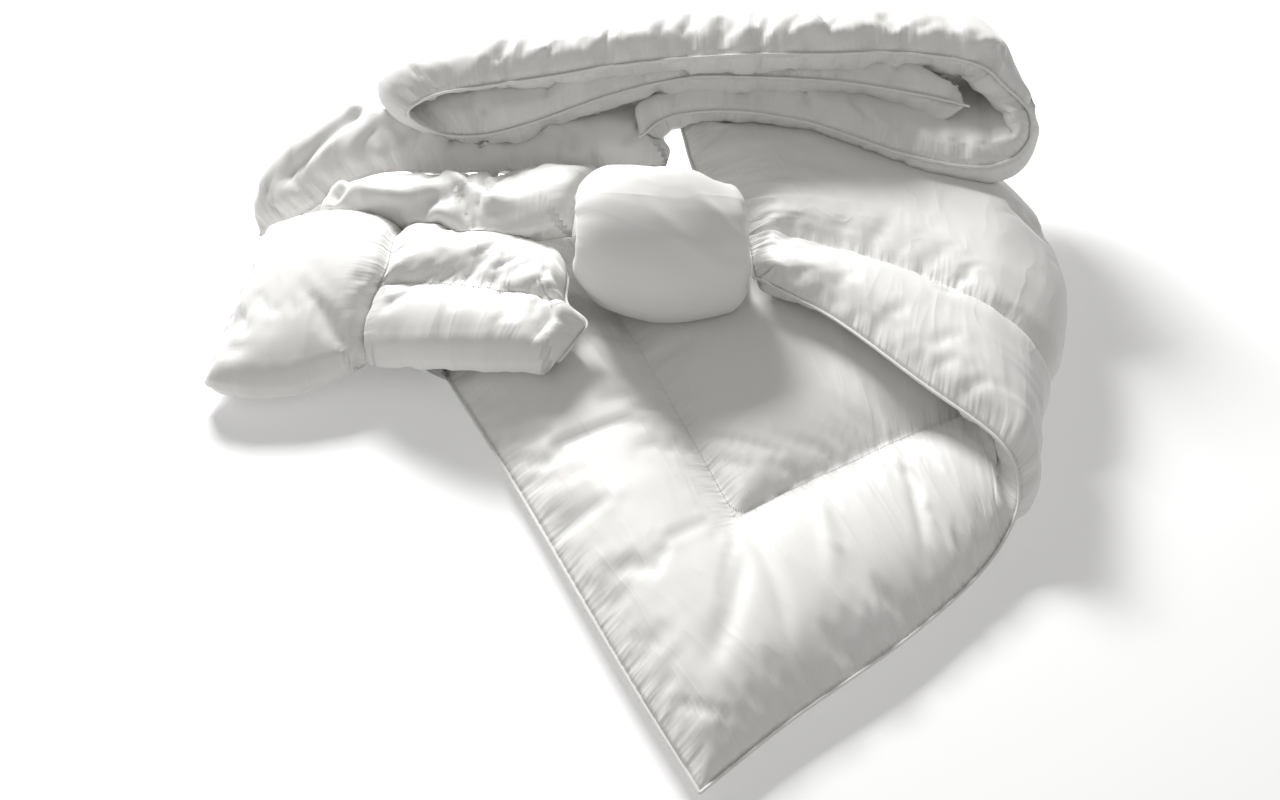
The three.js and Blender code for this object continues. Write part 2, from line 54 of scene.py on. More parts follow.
LOFT = 0.080                # thickness of one filled layer
CLOTH = 0.0012              # thickness of the cover
PIPING_RADIUS = 0.0025
THREAD_RADIUS = 0.0008
STITCH = 0.0045             # length of one quilting stitch with its gap
BORDER = 0.270              # from the piped edge to the quilted frame line
LEFT_FRONT_QUILT = 0.160
EDGE_ROUND = 0.048          # how far in from a seam the layer reaches its full loft
QUILT_ROUND = 0.040
FRAME_CORNER = 0.03         # radius of the rounded corner of the quilted frame line
SEAM_CLEAR = 0.02           # stitches stop this far from the piped edge
QUILT_SHARE = 0.45          # share of the loft left at a quilting line
PAD_INSET = 0.004           # wadding stays this far inside the cover
CELL = 0.0135               # grid spacing before the cloth simulation, halved after it
FRAMES = 20                 # frames of cloth simulation
LIMIT = 0.024               # furthest a point may move in the simulation

# ---- guide nets ----------------------------------------------------------------------------------
# Rows run along a fold, the first is its front edge. A point is x, y in millimetres, its height in lofts
# and, if given, how fat the layer is there.
FRONT_FOLD = [
    [(88, -722, .35), (211, -619, .4), (364, -505, .45), (480, -400, .45), (548, -318, .6), (572, -262, 1.05),
     (548, -205, 1.6), (442, -84, 1.75), (325, 64, 1.75), (205, 168, 1.75)],
    [(-15, -530, .4), (110, -430, .45), (280, -310, .45), (425, -215, .45), (560, -130, .6), (612, -95, 1.15),
     (568, -20, 1.75), (470, 90, 1.8), (340, 180, 1.8), (200, 250, 1.8)],
    [(-190, -180, .4), (-20, -110, .45), (180, -10, .45), (400, 90, .45), (635, 150, .5), (710, 180, 1.1),
     (630, 210, 1.75), (480, 250, 1.8), (330, 300, 1.8), (180, 335, 1.85)],
    [(-350, 120, .4), (-150, 190, .45), (80, 250, .45), (350, 320, .45), (610, 375, .5), (690, 385, 1.1),
     (615, 400, 1.75), (460, 420, 1.8), (300, 430, 1.8), (120, 440, 1.85)],
    [(-440, 330, .4), (-250, 390, .45), (20, 440, .45), (300, 500, .45), (520, 560, .5), (590, 580, 1.1),
     (520, 600, 1.85), (400, 615, 1.95), (260, 620, 1.95), (90, 615, 1.95)],
]
LEFT_FOLD = [
    [(-695, 25, 0.08), (-560, 25, 0.08), (-440, 78, 0.35), (-310, 48, 0.75), (-120, 15, 1.05)],
    [(-705, 18, 0.25), (-565, 8, 0.3), (-440, 58, 0.55), (-310, 22, 0.95), (-118, -12, 1.25)],
    [(-700, 60, 0.42), (-565, 48, 0.55), (-440, 85, 0.85), (-310, 55, 1.3), (-85, 25, 1.5)],
    [(-695, 120, 0.5), (-560, 110, 0.75), (-430, 120, 1.15), (-300, 95, 1.5), (-75, 48, 1.6)],
    [(-685, 230, 0.5), (-560, 220, 1), (-410, 190, 1.5), (-270, 160, 1.6), (-108, 95, 1.6)],
    [(-672, 330, 0.55), (-550, 315, 1.15), (-410, 270, 1.45), (-265, 220, 1.5), (-110, 165, 1.55)],
    [(-660, 400, 0.35), (-540, 370, 0.6), (-400, 330, 0.7), (-260, 290, 0.8), (-125, 235, 1.2)],
]
CENTRE_ROLL = [
    [(-72, 232, 2.32), (-72, 207, 2.34), (-72, 192, 2.55), (-72, 199, 2.79), (-72, 222, 2.9),
     (-72, 245, 2.79)],
    [(-35, 241, 1.7), (-35, 170, 1.76), (-35, 128, 2.35), (-35, 147, 3.05), (-35, 212, 3.35),
     (-35, 277, 3.05)],
    [(40, 244, 1.41), (40, 156, 1.48), (40, 105, 2.18), (40, 128, 2.99), (40, 208, 3.35), (40, 288, 2.99)],
    [(118, 244, 1.39), (118, 164, 1.45), (118, 118, 2.09), (118, 139, 2.84), (118, 212, 3.17),
     (118, 285, 2.84)],
    [(192, 246, 1.39), (192, 187, 1.44), (192, 153, 1.93), (192, 168, 2.5), (192, 222, 2.75),
     (192, 276, 2.5)],
]
MIDDLE_FOLD = [
    [(-560, 365, 1), (-450, 335, 1.3), (-340, 290, 1.5), (-230, 250, 1.7), (-104, 250, 1.9)],
    [(-565, 380, 1.25), (-450, 340, 1.7), (-340, 298, 1.9), (-230, 260, 2), (-98, 262, 2.3)],
    [(-565, 405, 1.3), (-450, 372, 1.85), (-340, 335, 2.1), (-230, 305, 2.25), (-92, 312, 2.6)],
    [(-560, 425, 1.2), (-450, 405, 1.75), (-340, 385, 2), (-230, 365, 2.15), (-60, 372, 2.45)],
    [(-550, 450, 1), (-450, 432, 1.45), (-340, 428, 1.7), (-230, 425, 1.85), (-50, 428, 2)],
]
SIDE_FOLD = [
    [(-700, 430, 0.3), (-610, 428, 1), (-470, 440, 1.95), (-310, 435, 2.05), (-150, 440, 2.1),
     (-20, 432, 2.2), (60, 450, 2.1)],
    [(-705, 470, 0.35), (-630, 475, 1.1), (-480, 475, 2.1), (-320, 460, 2.2), (-150, 465, 2.25),
     (-20, 460, 2.3), (68, 490, 2.2)],
    [(-690, 530, 0.4), (-600, 530, 1.6), (-470, 530, 2.3), (-320, 515, 2.1), (-150, 520, 2.15),
     (-20, 520, 2.15), (58, 550, 2.1)],
    [(-650, 600, 0.4), (-560, 600, 1.6), (-450, 600, 2.3), (-320, 600, 2), (-150, 600, 2), (-20, 605, 2),
     (90, 662, 1.85)],
    [(-600, 670, 0.3), (-520, 670, 0.9), (-430, 670, 1.5), (-320, 670, 1.5), (-150, 670, 1.5),
     (-20, 675, 1.5), (150, 712, 1.3)],
]
BACK_EDGE = [
    (10, 472, 2.7), (70, 522, 2.85), (180, 533, 2.9), (320, 500, 2.85), (470, 405, 2.85), (585, 362, 2.85),
    (655, 372, 2.95, 0.8), (690, 405, 3.25, 0.7), (685, 437, 3.7, 0.7), (642, 466, 4.1, 0.8),
    (597, 500, 4.35), (478, 530, 4.4), (322, 520, 4.45), (218, 518, 4.45), (90, 512, 4.4), (-37, 506, 4.25),
    (-150, 490, 4.1), (-260, 480, 3.95, 0.9), (-345, 472, 3.8, 0.5), (-398, 464, 3.4, 0.36),
    (-350, 458, 2.95, 0.4), (-275, 447, 2.95, 0.9), (-190, 450, 3.2), (-40, 508, 3.5), (67, 545, 3.6),
    (150, 560, 3.6), (360, 543, 3.6), (515, 495, 3.6), (590, 465, 3.55, 0.8),
]
BACK_BULGE = [
    (10, 540, 2.55), (65, 592, 2.6), (180, 608, 2.6), (320, 565, 2.6), (470, 470, 2.6), (580, 427, 2.6),
    (640, 430, 2.65, 0.8), (674, 455, 3.05, 0.7), (670, 485, 3.65, 0.7), (632, 520, 4.1, 0.8),
    (590, 550, 4.3), (472, 585, 4.35), (322, 582, 4.4), (218, 580, 4.4), (90, 575, 4.35), (-37, 570, 4.25),
    (-150, 560, 4.15), (-265, 552, 4.05, 0.9), (-390, 550, 3.85, 0.6), (-440, 542, 3.45, 0.5),
    (-400, 532, 3, 0.6), (-300, 515, 2.95, 0.9), (-190, 512, 3.12), (-40, 562, 3.35, 0.95),
    (67, 590, 3.43, 0.9), (150, 595, 3.43, 0.9), (360, 582, 3.45), (505, 540, 3.45), (575, 500, 3.35, 0.8),
]


STACK_BASE = 2.2


def pressed(row, squeeze, thin, y=None):
    """A row of guide points with heights squeezed towards the stack's base, moved to another y if one is given."""
    return [(p[0], p[1] if y is None else y, STACK_BASE + (p[2] - STACK_BASE) * squeeze,
             (p[3] if len(p) > 3 else 1) * thin) for p in row]


BACK_STACK = [
    pressed(BACK_EDGE, 1, .85),
    pressed(BACK_BULGE, 1, .8),
    pressed(BACK_BULGE, .85, .65, 650),
    pressed(BACK_BULGE, .55, .4, 705),
]

# Each fold's quilting lines are (side that they cross, distance from its start, distance where they begin).
# Chambers are the stretches between seams that each hold their own wadding, named as in the frame.
# Growth is how much the simulated cloth is larger than its shape, drift scales the soft folds of the open
# cloth, and rounding replaces EDGE_ROUND. Creases belong to a side, 1 for the upper cover: each is a start
# and an end in cloth coordinates, a width and a depth.
ALL = (0, -1)
FOLDS = [
    {"name": "front_fold", "net": FRONT_FOLD, "fullness": .95, "quilts": [("u", BORDER, BORDER),
     ("v", BORDER, BORDER)], "chambers": {"front_border_fill": (ALL, (0, 1)), "side_border_fill": ((0, 1), (1, -1)),
     "centre_fill": ((1, -1), (1, -1))}, "piping": ["front", "left", "right"], "growth": .012, "drift": .55,
     "creases": {1: [(.12, .55, .45, .70, .035, .005), (.52, .05, .60, .24, .014, -.006),
     (.22, .06, .27, .22, .012, -.005), (.10, .10, .24, .20, .018, -.007), (.34, .10, .40, .24, .014, .005),
     (.95, .30, 1.05, .72, .022, .009), (1.02, .10, 1.10, .40, .018, -.008),
     (1.12, .30, 1.22, .52, .016, -.008), (.80, .30, .78, .62, .020, -.008)]}},
    {"name": "left_fold", "net": LEFT_FOLD, "fullness": .95, "quilts": [("u", BORDER, 0),
     ("v", LEFT_FRONT_QUILT, BORDER)], "chambers": {"end_fill": ((0, 1), ALL), "front_fill": ((1, -1), (0, 1)),
     "top_fill": ((1, -1), (1, -1))}, "piping": ["right"]},
    {"name": "centre_roll", "net": CENTRE_ROLL, "fullness": .9, "growth": .09, "quilts": [],
     "chambers": {"fill": (ALL, ALL)}, "piping": [], "drift": 1.2, "creases": {1: [
     (.06, .02, .05, .30, .009, -.008), (.11, .04, .10, .31, .010, .008),
     (.16, .02, .17, .29, .009, -.009), (.22, .03, .21, .30, .011, .008), (.28, .01, .29, .28, .010, -.009),
     (.34, .04, .33, .30, .009, .007)]}},
    {"name": "middle_fold", "net": MIDDLE_FOLD, "fullness": .6, "quilts": [], "chambers": {"fill": (ALL, ALL)},
     "piping": [], "drift": 1.5, "creases": {1: [(.02, .10, .20, .05, .011, .012), (.14, .03, .32, .09, .012, -.011),
     (.24, .12, .42, .06, .010, .012), (.05, .05, .16, .13, .009, -.009)]}},
    {"name": "side_fold", "net": SIDE_FOLD, "fullness": .9, "quilts": [], "chambers": {"fill": (ALL, ALL)},
     "piping": [], "drift": 1.5, "creases": {1: [(.10, .04, .34, .16, .014, -.012), (.30, .02, .52, .12, .012, .011),
     (.46, .10, .66, .03, .011, -.011), (.20, .14, .40, .05, .012, .010)]}},
    {"name": "back_stack", "net": BACK_STACK, "fullness": 1.12, "quilts": [], "chambers": {"fill": (ALL, ALL)},
     "piping": ["front", "rear"], "rounding": .026, "drift": 1.3},
]


# ---- curves and grids ----------------------------------------------------------------------------
def curve(points, shares):
    """A smooth Catmull-Rom curve through equally spaced points, at shares from 0 to 1 of its whole."""
    points = np.asarray(points, float)
    last = len(points) - 1
    place = np.clip(shares, 0, 1) * last
    first = np.minimum(place.astype(int), last - 1)
    t = (place - first).reshape((-1,) + (1,) * (points.ndim - 1))
    ends = np.concatenate([2 * points[:1] - points[1:2], points, 2 * points[-1:] - points[-2:-1]])
    a, b, c, d = (ends[first + k] for k in range(4))
    return .5 * (2 * b + (c - a) * t + (2 * a - 5 * b + 4 * c - d) * t ** 2 + (3 * b - a - 3 * c + d) * t ** 3)


def net_grid(net, u, v):
    """Places and fatness on a net at shares u along its rows and v across them: smooth curves both ways."""
    full = np.array([[(p[0] * MM, p[1] * MM, p[2] * LOFT, p[3] if len(p) > 3 else 1) for p in row] for row in net])
    along = curve(full.transpose(1, 0, 2), u).transpose(1, 0, 2)
    grid = curve(along, v)
    return grid[..., :3], grid[..., 3]


def even_shares(line, spacing):
    """Shares along a line of points that are evenly spaced by length, and those lengths."""
    run = np.concatenate([[0], np.cumsum(np.linalg.norm(np.diff(line, axis=0), axis=1))])
    lengths = np.linspace(0, run[-1], max(int(round(run[-1] / spacing)), 4) + 1)
    return np.interp(lengths, run, np.linspace(0, 1, len(run))), lengths


def normals_of(grid):
    """Unit normals of a grid of points, from the differences along and across it."""
    normal = np.cross(np.gradient(grid, axis=1), np.gradient(grid, axis=0))
    return normal / np.maximum(np.linalg.norm(normal, axis=-1, keepdims=True), 1e-12)


def rise(distance, reach):
    """How full a layer is at a distance from a seam: a quarter of a sine wave."""
    return np.sin(np.pi / 2 * np.clip(distance / reach, 0, 1))


def smooth(low, high, value):
    """0 below low, 1 above high and a smooth step between."""
    t = np.clip((value - low) / (high - low), 0, 1)
    return t * t * (3 - 2 * t)


def noise(x, y, seed):
    """Smooth noise from -1 to 1: random values on a square lattice, blended with smooth steps."""
    values = np.random.default_rng(seed).uniform(-1, 1, (64, 64))
    i, j = np.floor(x).astype(int), np.floor(y).astype(int)
    s, t = smooth(0, 1, x - i), smooth(0, 1, y - j)
    pick = lambda a, b: values[(i + a) % 64, (j + b) % 64]
    return (pick(0, 0) * (1 - s) + pick(1, 0) * s) * (1 - t) + (pick(0, 1) * (1 - s) + pick(1, 1) * s) * t


def finer(grid):
    """A grid with one more point between each two, on a cubic curve through four neighbours."""
    for axis in (0, 1):
        g = np.moveaxis(grid, axis, 0)
        p = np.concatenate([2 * g[:1] - g[1:2], g, 2 * g[-1:] - g[-2:-1]])
        fine = np.empty((2 * len(g) - 1,) + g.shape[1:])
        fine[::2] = g
        fine[1::2] = (9 * (p[1:-2] + p[2:-1]) - p[:-3] - p[3:]) / 16
        grid = np.moveaxis(fine, 0, axis)
    return grid


def seams_of(fold, u, v):
    """Distance of each cloth point to the nearest edge and to the nearest quilting line, and the place along
    whichever of them is nearer."""
    uu, vv = np.meshgrid(u, v)
    to_u, to_v = np.minimum(uu, u[-1] - uu), np.minimum(vv, v[-1] - vv)
    edge = np.minimum(to_u, to_v)
    along = np.where(to_u < to_v, vv, uu)
    quilt = np.full_like(uu, 9.0)
    for across, at, start in fold["quilts"]:
        d = (np.hypot(uu - at, np.maximum(start - vv, 0)) if across == "u"
             else np.hypot(vv - at, np.maximum(start - uu, 0)))
        along = np.where(d < np.minimum(edge, quilt), vv if across == "u" else uu, along)
        quilt = np.minimum(quilt, d)
    return to_u, to_v, quilt, along


# ---- cloth ---------------------------------------------------------------------------------------
def bag_mesh(top, bottom):
    """Points and faces of a closed bag between two grids that share their rim, and the bottom's indices."""
    rows, columns = top.shape[:2]
    upper = np.arange(rows * columns).reshape(rows, columns)
    lower = upper.copy()
    lower[1:-1, 1:-1] = rows * columns + np.arange((rows - 2) * (columns - 2)).reshape(rows - 2, columns - 2)
    points = np.concatenate([top.reshape(-1, 3), bottom[1:-1, 1:-1].reshape(-1, 3)])
    quads = lambda g: np.stack([g[:-1, :-1], g[:-1, 1:], g[1:, 1:], g[1:, :-1]], -1).reshape(-1, 4)
    faces = np.concatenate([quads(upper), quads(lower)[:, ::-1]])
    return points, faces, lower


def plain_mesh(name, points, faces):
    """A mesh from points and faces."""
    mesh = bpy.data.meshes.new(name)
    mesh.from_pydata(points.tolist(), [], faces.tolist())
    mesh.update()
    return mesh


def puff(fold, top, bottom, held):
    """Lets a closed bag swell and pucker: cloth a little larger than its shape, under pressure, held at its
    seams. A point moves by at most the limit."""
    points, faces, lower = bag_mesh(top, bottom)
    mesh = plain_mesh("bag", points, faces)
    bag = bpy.data.objects.new("bag", mesh)
    bpy.context.collection.objects.link(bag)
    weights = np.concatenate([held.ravel(), held[1:-1, 1:-1].ravel()])
    group = bag.vertex_groups.new(name="held")
    levels = np.round(weights, 1)
    for level in np.unique(levels):
        if level > 0:
            group.add(np.flatnonzero(levels == level).tolist(), float(level), "REPLACE")
    cloth = bag.modifiers.new("cloth", "CLOTH")
    settings = cloth.settings
    settings.quality = 5
    settings.mass = 0.25
    settings.tension_stiffness = settings.compression_stiffness = 12
    settings.shear_stiffness = 4
    settings.bending_stiffness = fold.get("stiffness", 0.08)
    settings.air_damping = 2
    settings.use_pressure = True
    settings.uniform_pressure_force = fold.get("pressure", 3.0)
    settings.shrink_min = -fold.get("growth", 0.05)
    settings.vertex_group_mass = "held"
    settings.effector_weights.gravity = 0
    cloth.collision_settings.use_collision = False
    cloth.point_cache.frame_start, cloth.point_cache.frame_end = 1, FRAMES
    scene = bpy.context.scene
    for number in range(1, FRAMES + 1):
        scene.frame_set(number)
    shown = bag.evaluated_get(bpy.context.evaluated_depsgraph_get())
    result = np.empty(len(points) * 3)
    shown.data.vertices.foreach_get("co", result)
    bpy.data.objects.remove(bag)
    bpy.data.meshes.remove(mesh)
    scene.frame_set(1)
    moved = result.reshape(-1, 3) - points
    length = np.maximum(np.linalg.norm(moved, axis=1, keepdims=True), 1e-9)
    points = points + moved * (LIMIT * np.tanh(length / LIMIT) / length)
    return points[:top.shape[0] * top.shape[1]].reshape(top.shape), points[lower]


def puckers(fold, u, v, seed):
    """Height of the fine gathers beside the seams: noise stretched away from each seam, fading with distance."""
    to_u, to_v, quilt, along = seams_of(fold, u, v)
    uu, vv = np.meshgrid(u, v)
    height = np.zeros_like(uu)
    for distance, run, k in ((to_u, vv, 1), (to_v, uu, 2)):
        fade = np.exp(-distance / .045) * smooth(0, .012, distance)
        height += fade * .0042 * noise(run / .017, distance / .12, seed + k)
        wide = np.exp(-distance / .09) * smooth(0, .03, distance)
        height += wide * .006 * noise(run / .041, distance / .2, seed + 7 + k)
    height += np.exp(-quilt / .035) * smooth(0, .008, quilt) * .0030 * noise(along / .021, quilt / .1, seed + 3)
    return height


def drifts(u, v, seed):
    """Height of the soft folds of the open cloth: ridged noise, longer one way than the other and turning."""
    uu, vv = np.meshgrid(u, v)
    turn = .6 * noise(uu / .5, vv / .5, seed)
    x, y = uu * np.cos(turn + .7) + vv * np.sin(turn + .7), vv * np.cos(turn + .7) - uu * np.sin(turn + .7)
    ridged = (1 - np.abs(noise(x / .055, y / .24, seed + 1))) ** 3
    patches = smooth(-.1, .6, noise(uu / .3, vv / .3, seed + 2))
    return .0045 * ridged * patches + .004 * noise(x / .11, y / .2, seed + 4)


def crease_height(creases, u, v):
    """Height of single creases: each is a ridge or valley along a straight line, fading to its sides and ends."""
    uu, vv = np.meshgrid(u, v)
    height = np.zeros_like(uu)
    for u0, v0, u1, v1, width, depth in creases:
        way = np.array([u1 - u0, v1 - v0])
        length = np.hypot(*way)
        way = way / length
        along = (uu - u0) * way[0] + (vv - v0) * way[1]
        across = (vv - v0) * way[0] - (uu - u0) * way[1] + .12 * length * np.sin(np.pi * along / length) * .5
        height += depth * np.exp(-(across / width) ** 2) * smooth(-.15, .3, along / length) * smooth(
            -.15, .3, 1 - along / length)
    return height


def lay_out(fold):
    """A fold's two cloth grids. The cloth lies half a loft either side of the middle surface, less near seams."""
    net = fold["net"]
    steps = np.linspace(0, 1, 401)
    share_u, u = even_shares(net_grid(net, steps, np.array([.4]))[0][0], CELL)
    share_v, v = even_shares(net_grid(net, np.array([.4]), steps)[0][:, 0], CELL)
    middle, fat = net_grid(net, share_u, share_v)
    normal = normals_of(middle)
    to_u, to_v, quilt, _ = seams_of(fold, u, v)
    rounding = fold.get("rounding", EDGE_ROUND)
    edged = rise(to_u, rounding) * rise(to_v, rounding)
    quilted = QUILT_SHARE + (1 - QUILT_SHARE) * rise(quilt, QUILT_ROUND)
    half = (LOFT * fold["fullness"] * fat / 2 * edged * quilted)[..., None]
    return {"u": u, "v": v, "top": middle + normal * half * .93, "bottom": middle - normal * half * .93,
            "held": np.maximum(edged < .01, .9 * (quilt < CELL * .6)).astype(float)}


def on_ground(grid, depth):
    """A grid pushed up where it would go below a depth over the ground."""
    grid = grid.copy()
    grid[..., 2] = np.maximum(grid[..., 2], depth)
    return grid


def tree_of(top, bottom):
    """A search tree over the closed bag between two grids."""
    points, faces, _ = bag_mesh(top, bottom)
    return BVHTree.FromPolygons(points.tolist(), faces.tolist())


def clear_of(grid, tree, box):
    """A grid whose points that lie inside another bag move out to its nearest surface point, a bit clear."""
    grid = grid.copy()
    flat = grid.reshape(-1, 3)
    near = np.flatnonzero(((flat > box[0] - .002) & (flat < box[1] + .002)).all(1))
    for k in near:
        place, normal, _, _ = tree.find_nearest(Vector(flat[k]), .07)
        if place is not None and (Vector(flat[k]) - place).dot(normal) < .0006:
            flat[k] = place + normal * .0012
    return grid


def shape_fold(fold, seed, laid):
    """The finished cloth grids of one fold: laid out, puffed, made finer, creased and laid on the folds below."""
    sheet = lay_out(fold)
    names = [f"{fold['name']}_upper_cover", f"{fold['name']}_lower_cover"]
    corners = np.array([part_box(name) for name in names])
    high = corners[:, 1].max(0)
    both = np.concatenate([sheet["top"], sheet["bottom"]]).reshape(-1, 3)
    shift = np.append(SHIFT, 0 if fold["name"] == "front_fold" else high[2] - both[:, 2].max())
    top, bottom = on_ground(sheet["top"] + shift, .001), on_ground(sheet["bottom"] + shift, .001)
    top, bottom = puff(fold, top, bottom, sheet["held"])
    top, bottom = finer(top), finer(bottom)
    u, v = (np.interp(np.arange(2 * len(s) - 1) / 2, np.arange(len(s)), s) for s in (sheet["u"], sheet["v"]))
    for grid, side, number in ((top, 1, seed), (bottom, -1, seed + 20)):
        height = puckers(fold, u, v, number) + drifts(u, v, number + 9) * fold.get("drift", 1)
        height += crease_height(fold.get("creases", {}).get(side, ()), u, v)
        to_u, to_v, _, _ = seams_of(fold, u, v)
        height *= smooth(0, .02, np.minimum(to_u, to_v))
        grid += side * normals_of(grid) * height[..., None]
    top, bottom = on_ground(top, .0006), on_ground(bottom, .0006)
    for tree, box in laid:
        top, bottom = clear_of(top, tree, box), clear_of(bottom, tree, box)
    bottom[0], bottom[-1], bottom[:, 0], bottom[:, -1] = top[0], top[-1], top[:, 0], top[:, -1]
    every = np.concatenate([top, bottom]).reshape(-1, 3)
    laid.append((tree_of(top[::2, ::2], bottom[::2, ::2]), (every.min(0), every.max(0))))
    return {"u": u, "v": v, "top": top, "bottom": bottom}


# ---- pieces --------------------------------------------------------------------------------------
def add_piece(name, points, faces, material, slot, node_name, flat=None, values=None):
    """A mesh object of the duvet that stands for a CAD node, with cloth coordinates and values if they are given."""
    mesh = plain_mesh(name, points, faces)
    mesh.polygons.foreach_set("use_smooth", np.ones(len(mesh.polygons), bool))
    if flat is not None:
        corner = np.empty(len(mesh.loops), int)
        mesh.loops.foreach_get("vertex_index", corner)
        layer = mesh.uv_layers.new(name="cloth")
        layer.data.foreach_set("uv", flat[corner].astype(np.float32).ravel())
    for key, value in (values or {}).items():
        attribute = mesh.attributes.new(key, "FLOAT", "POINT")
        attribute.data.foreach_set("value", value.astype(np.float32))
    mesh.materials.append(material)
    piece = bpy.data.objects.new(name, mesh)
    bpy.context.collection.objects.link(piece)
    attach(piece, "root")
    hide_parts(node_name)
    return piece


def shell(outer, inner):
    """Points and faces of a closed thin body between two grids, the outer one facing its normals."""
    rows, columns = outer.shape[:2]
    a = np.arange(rows * columns).reshape(rows, columns)
    b = a + rows * columns
    quads = lambda g: np.stack([g[:-1, :-1], g[:-1, 1:], g[1:, 1:], g[1:, :-1]], -1).reshape(-1, 4)
    wall = lambda p, q: np.stack([q[:-1], q[1:], p[1:], p[:-1]], -1)
    rim = [wall(a[0], b[0]), wall(a[-1, ::-1], b[-1, ::-1]), wall(a[::-1, 0], b[::-1, 0]), wall(a[:, -1], b[:, -1])]
    return np.concatenate([outer.reshape(-1, 3), inner.reshape(-1, 3)]), np.concatenate(
        [quads(a), quads(b)[:, ::-1], *rim])


def add_cover(fold, sheet, side):
    """One cover panel: its outside is the cloth grid, its inside lies the cloth's thickness further in. Its flat
    coordinates are lengths along the laid-out middle surface, taken before the simulation."""
    outside = sheet["top"] if side > 0 else sheet["bottom"]
    normal = normals_of(outside) * side
    inside = outside - normal * CLOTH
    points, faces = shell(outside, inside)
    if side < 0:
        faces = faces[:, ::-1]
    to_u, to_v, quilt, along = seams_of(fold, sheet["u"], sheet["v"])
    seam = np.minimum(np.minimum(to_u, to_v), quilt).ravel()
    uu, vv = np.meshgrid(sheet["u"], sheet["v"])
    flat = np.stack([uu.ravel(), vv.ravel()], -1)
    way = "upper" if side > 0 else "lower"
    piece = add_piece(f"{fold['name']}_{way}_cotton", points, faces, COTTON, "cover", f"{fold['name']}_{way}_cover",
                      flat=np.tile(flat, (2, 1)),
                      values={"seam": np.tile(seam, 2), "run": np.tile(along.ravel(), 2)})
    return piece


def add_fill(fold, sheet, name, across, down):
    """The wadding of one chamber: a pad between the two cloth grids, a little inside them, its rim rounded."""
    stops_u = [0, *[at for way, at, _ in fold["quilts"] if way == "u"], sheet["u"][-1]]
    stops_v = [0, *[at for way, at, _ in fold["quilts"] if way == "v"], sheet["v"][-1]]
    pick = []
    for stops, chosen, places in ((stops_u, across, sheet["u"]), (stops_v, down, sheet["v"])):
        start, end = stops[chosen[0]], stops[chosen[1]]
        low = start + (.016 if chosen[0] == 0 else .006)
        high = end - (.016 if chosen[1] == -1 else .006)
        inside = np.flatnonzero((places > low) & (places < high))
        pick.append(np.unique(np.append(inside[::2], inside[-1])))
    cut = np.ix_(pick[1], pick[0])
    top = (sheet["top"] - normals_of(sheet["top"]) * PAD_INSET)[cut]
    bottom = (sheet["bottom"] + normals_of(sheet["bottom"]) * PAD_INSET)[cut]
    middle = (top + bottom) / 2
    apart = np.einsum("ijk,ijk->ij", top - bottom, normals_of(middle))[..., None]
    thin = apart < .002
    top = np.where(thin, middle + normals_of(middle) * .001, top)
    bottom = np.where(thin, middle - normals_of(middle) * .001, bottom)
    piece = add_piece(f"{fold['name']}_{name}_wadding".replace("_fill_", "_"), *shell(top, bottom), WADDING, "filling",
                      f"{fold['name']}_{name}")
    return piece


def tube(path, radius, sides):
    """Points and faces of a round tube along a path, closed at both ends, its section turning with the path."""
    way = np.gradient(path, axis=0)
    way /= np.linalg.norm(way, axis=1, keepdims=True)
    side = np.zeros_like(path)
    side[0] = np.cross(way[0], (0, 0, 1) if abs(way[0][2]) < .9 else (1, 0, 0))
    for k in range(1, len(path)):
        side[k] = side[k - 1] - way[k] * side[k - 1].dot(way[k])
    side /= np.linalg.norm(side, axis=1, keepdims=True)
    up = np.cross(way, side)
    turn = 2 * np.pi * np.arange(sides) / sides
    rings = (path[:, None] + radius * (np.cos(turn)[None, :, None] * side[:, None]
                                       + np.sin(turn)[None, :, None] * up[:, None]))
    caps = np.stack([path[0] - way[0] * radius * .6, path[-1] + way[-1] * radius * .6])
    points = np.concatenate([rings.reshape(-1, 3), caps])
    index = np.arange(len(path) * sides).reshape(-1, sides)
    after = np.roll(index, -1, axis=1)
    walls = np.stack([index[:-1], after[:-1], after[1:], index[1:]], -1).reshape(-1, 4).tolist()
    first, last = len(points) - 2, len(points) - 1
    walls += [[first, b, a] for a, b in zip(index[0], after[0])]
    walls += [[last, a, b] for a, b in zip(index[-1], after[-1])]
    return points, walls


def add_piping(fold, sheet, edge):
    """Cord in a cotton casing along one edge of a fold, lying against the seam on its outer side."""
    top = sheet["top"]
    rim, inner = {"front": (top[0], top[2]), "rear": (top[-1], top[-3]), "left": (top[:, 0], top[:, 2]),
                  "right": (top[:, -1], top[:, -3])}[edge]
    out = rim - (inner + {"front": sheet["bottom"][2], "rear": sheet["bottom"][-3], "left": sheet["bottom"][:, 2],
                          "right": sheet["bottom"][:, -3]}[edge]) / 2
    way = np.gradient(rim, axis=0)
    way /= np.linalg.norm(way, axis=1, keepdims=True)
    out -= way * np.einsum("ij,ij->i", out, way)[:, None]
    out /= np.linalg.norm(out, axis=1, keepdims=True)
    path = rim + out * PIPING_RADIUS * .8
    path = np.concatenate([path[:1] - way[:1] * .002, path, path[-1:] + way[-1:] * .002])
    path = curve(path, np.linspace(0, 1, 2 * len(path)))
    path[:, 2] = np.maximum(path[:, 2], PIPING_RADIUS)
    points, walls = tube(path, PIPING_RADIUS, 10)
    mesh_faces = np.empty(len(walls), object)
    mesh_faces[:] = walls
    return add_piece(f"{fold['name']}_{edge}_piped_cord", points, mesh_faces, PIPING, "piping",
                     f"{fold['name']}_{edge}_piping")


